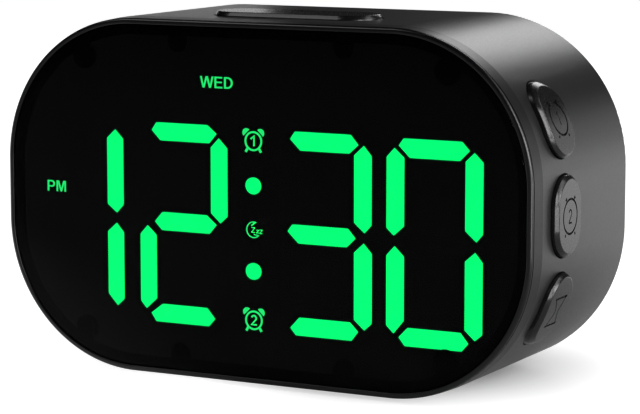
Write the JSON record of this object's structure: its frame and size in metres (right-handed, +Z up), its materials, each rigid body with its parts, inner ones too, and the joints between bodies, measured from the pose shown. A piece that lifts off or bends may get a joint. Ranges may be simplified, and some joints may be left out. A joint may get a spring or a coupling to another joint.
{
  "type": "digital desk clock",
  "caption": "Wide rounded desk clock with a seven-segment LED display behind a dark lens, a snooze bar on top and sprung buttons on its sides.",
  "frame": {"origin": "bottom centre of the clock's bounding box, on the plane its feet stand on", "axes": "+Z up, the display faces -Y, +X to the right as seen from the front"},
  "size_m": [0.1434, 0.0566, 0.0877],
  "materials": {
    "shell_plastic": "fine moulded grain",
    "frame_plastic": "gloss",
    "lens_acrylic": "polished dark tint",
    "button_plastic": "satin",
    "reflector_plastic": "matt black",
    "lit_diffuser": "milky, lit green",
    "dark_diffuser": "milky, unlit",
    "circuit_board": "green solder mask",
    "chip_plastic": "moulded epoxy",
    "led_chip": "white package",
    "switch_plastic": "moulded",
    "can_metal": "plated",
    "screw_steel": "blackened",
    "contact_metal": "plated spring strip",
    "foot_rubber": "matt",
    "speaker_paper": "pressed cone and frame",
    "ribbon_sheath": "grey flat cable",
    "header_nylon": "natural nylon"
  },
  "bodies": {
    "root": {"main_shell": "shell_plastic", "rear_cover": "shell_plastic", "rubber_feet": "foot_rubber", "front_frame": "frame_plastic", "front_lens": "lens_acrylic", "display_reflector": "reflector_plastic", "lit_bars": "lit_diffuser", "colon_dots": "lit_diffuser", "unlit_bars": "dark_diffuser", "day_lights": "dark_diffuser", "mode_lights": "dark_diffuser", "display_board": "circuit_board", "segment_leds": "led_chip", "display_screws": "screw_steel", "controller_chip": "chip_plastic", "quartz_crystal": "can_metal", "snooze_board": "circuit_board", "right_board": "circuit_board", "left_board": "circuit_board", "power_board": "circuit_board", "snooze_switch": "switch_plastic", "right_switches": "switch_plastic", "left_switches": "switch_plastic", "dimmer_switch": "switch_plastic", "power_inlet": "switch_plastic", "button_board_screws": "screw_steel", "case_screws": "screw_steel", "power_board_screws": "screw_steel", "speaker": "speaker_paper", "backup_battery": "can_metal", "battery_contacts": "contact_metal", "board_headers": "header_nylon", "right_ribbon": "ribbon_sheath", "left_ribbon": "ribbon_sheath", "snooze_ribbon": "ribbon_sheath", "power_ribbon": "ribbon_sheath"},
    "snooze": {"snooze_bar": "button_plastic"},
    "alarm_one": {"alarm_one_button": "button_plastic"},
    "alarm_two": {"alarm_two_button": "button_plastic"},
    "timer": {"timer_button": "button_plastic"},
    "plus": {"plus_button": "button_plastic"},
    "time_set": {"set_button": "button_plastic"},
    "minus": {"minus_button": "button_plastic"},
    "dimmer": {"dimmer_knob": "button_plastic"},
    "battery_hatch": {"battery_door": "shell_plastic"}
  },
  "joints": [
    {"name": "snooze_press", "type": "slide", "parent": "root", "child": "snooze", "axis": [0, 0, -1], "range_m": [0, 0.0005], "stiffness_N_per_m": 1200, "springref_m": -0.0005},
    {"name": "alarm_one_press", "type": "slide", "parent": "root", "child": "alarm_one", "axis": [-1, 0, 0], "range_m": [0, 0.0005], "stiffness_N_per_m": 1200, "springref_m": -0.0005},
    {"name": "alarm_two_press", "type": "slide", "parent": "root", "child": "alarm_two", "axis": [-1, 0, 0], "range_m": [0, 0.0005], "stiffness_N_per_m": 1200, "springref_m": -0.0005},
    {"name": "timer_press", "type": "slide", "parent": "root", "child": "timer", "axis": [-1, 0, 0], "range_m": [0, 0.0005], "stiffness_N_per_m": 1200, "springref_m": -0.0005},
    {"name": "plus_press", "type": "slide", "parent": "root", "child": "plus", "axis": [1, 0, 0], "range_m": [0, 0.0005], "stiffness_N_per_m": 1200, "springref_m": -0.0005},
    {"name": "time_set_press", "type": "slide", "parent": "root", "child": "time_set", "axis": [1, 0, 0], "range_m": [0, 0.0005], "stiffness_N_per_m": 1200, "springref_m": -0.0005},
    {"name": "minus_press", "type": "slide", "parent": "root", "child": "minus", "axis": [1, 0, 0], "range_m": [0, 0.0005], "stiffness_N_per_m": 1200, "springref_m": -0.0005},
    {"name": "dimmer_slide", "type": "slide", "parent": "root", "child": "dimmer", "axis": [1, 0, 0], "range_m": [0, 0.004]},
    {"name": "battery_door_turn", "type": "hinge", "parent": "root", "child": "battery_hatch", "pos_m": [0.036, 0.02755, 0.0397], "axis": [0, 1, 0], "range_deg": [0, 60]}
  ]
}
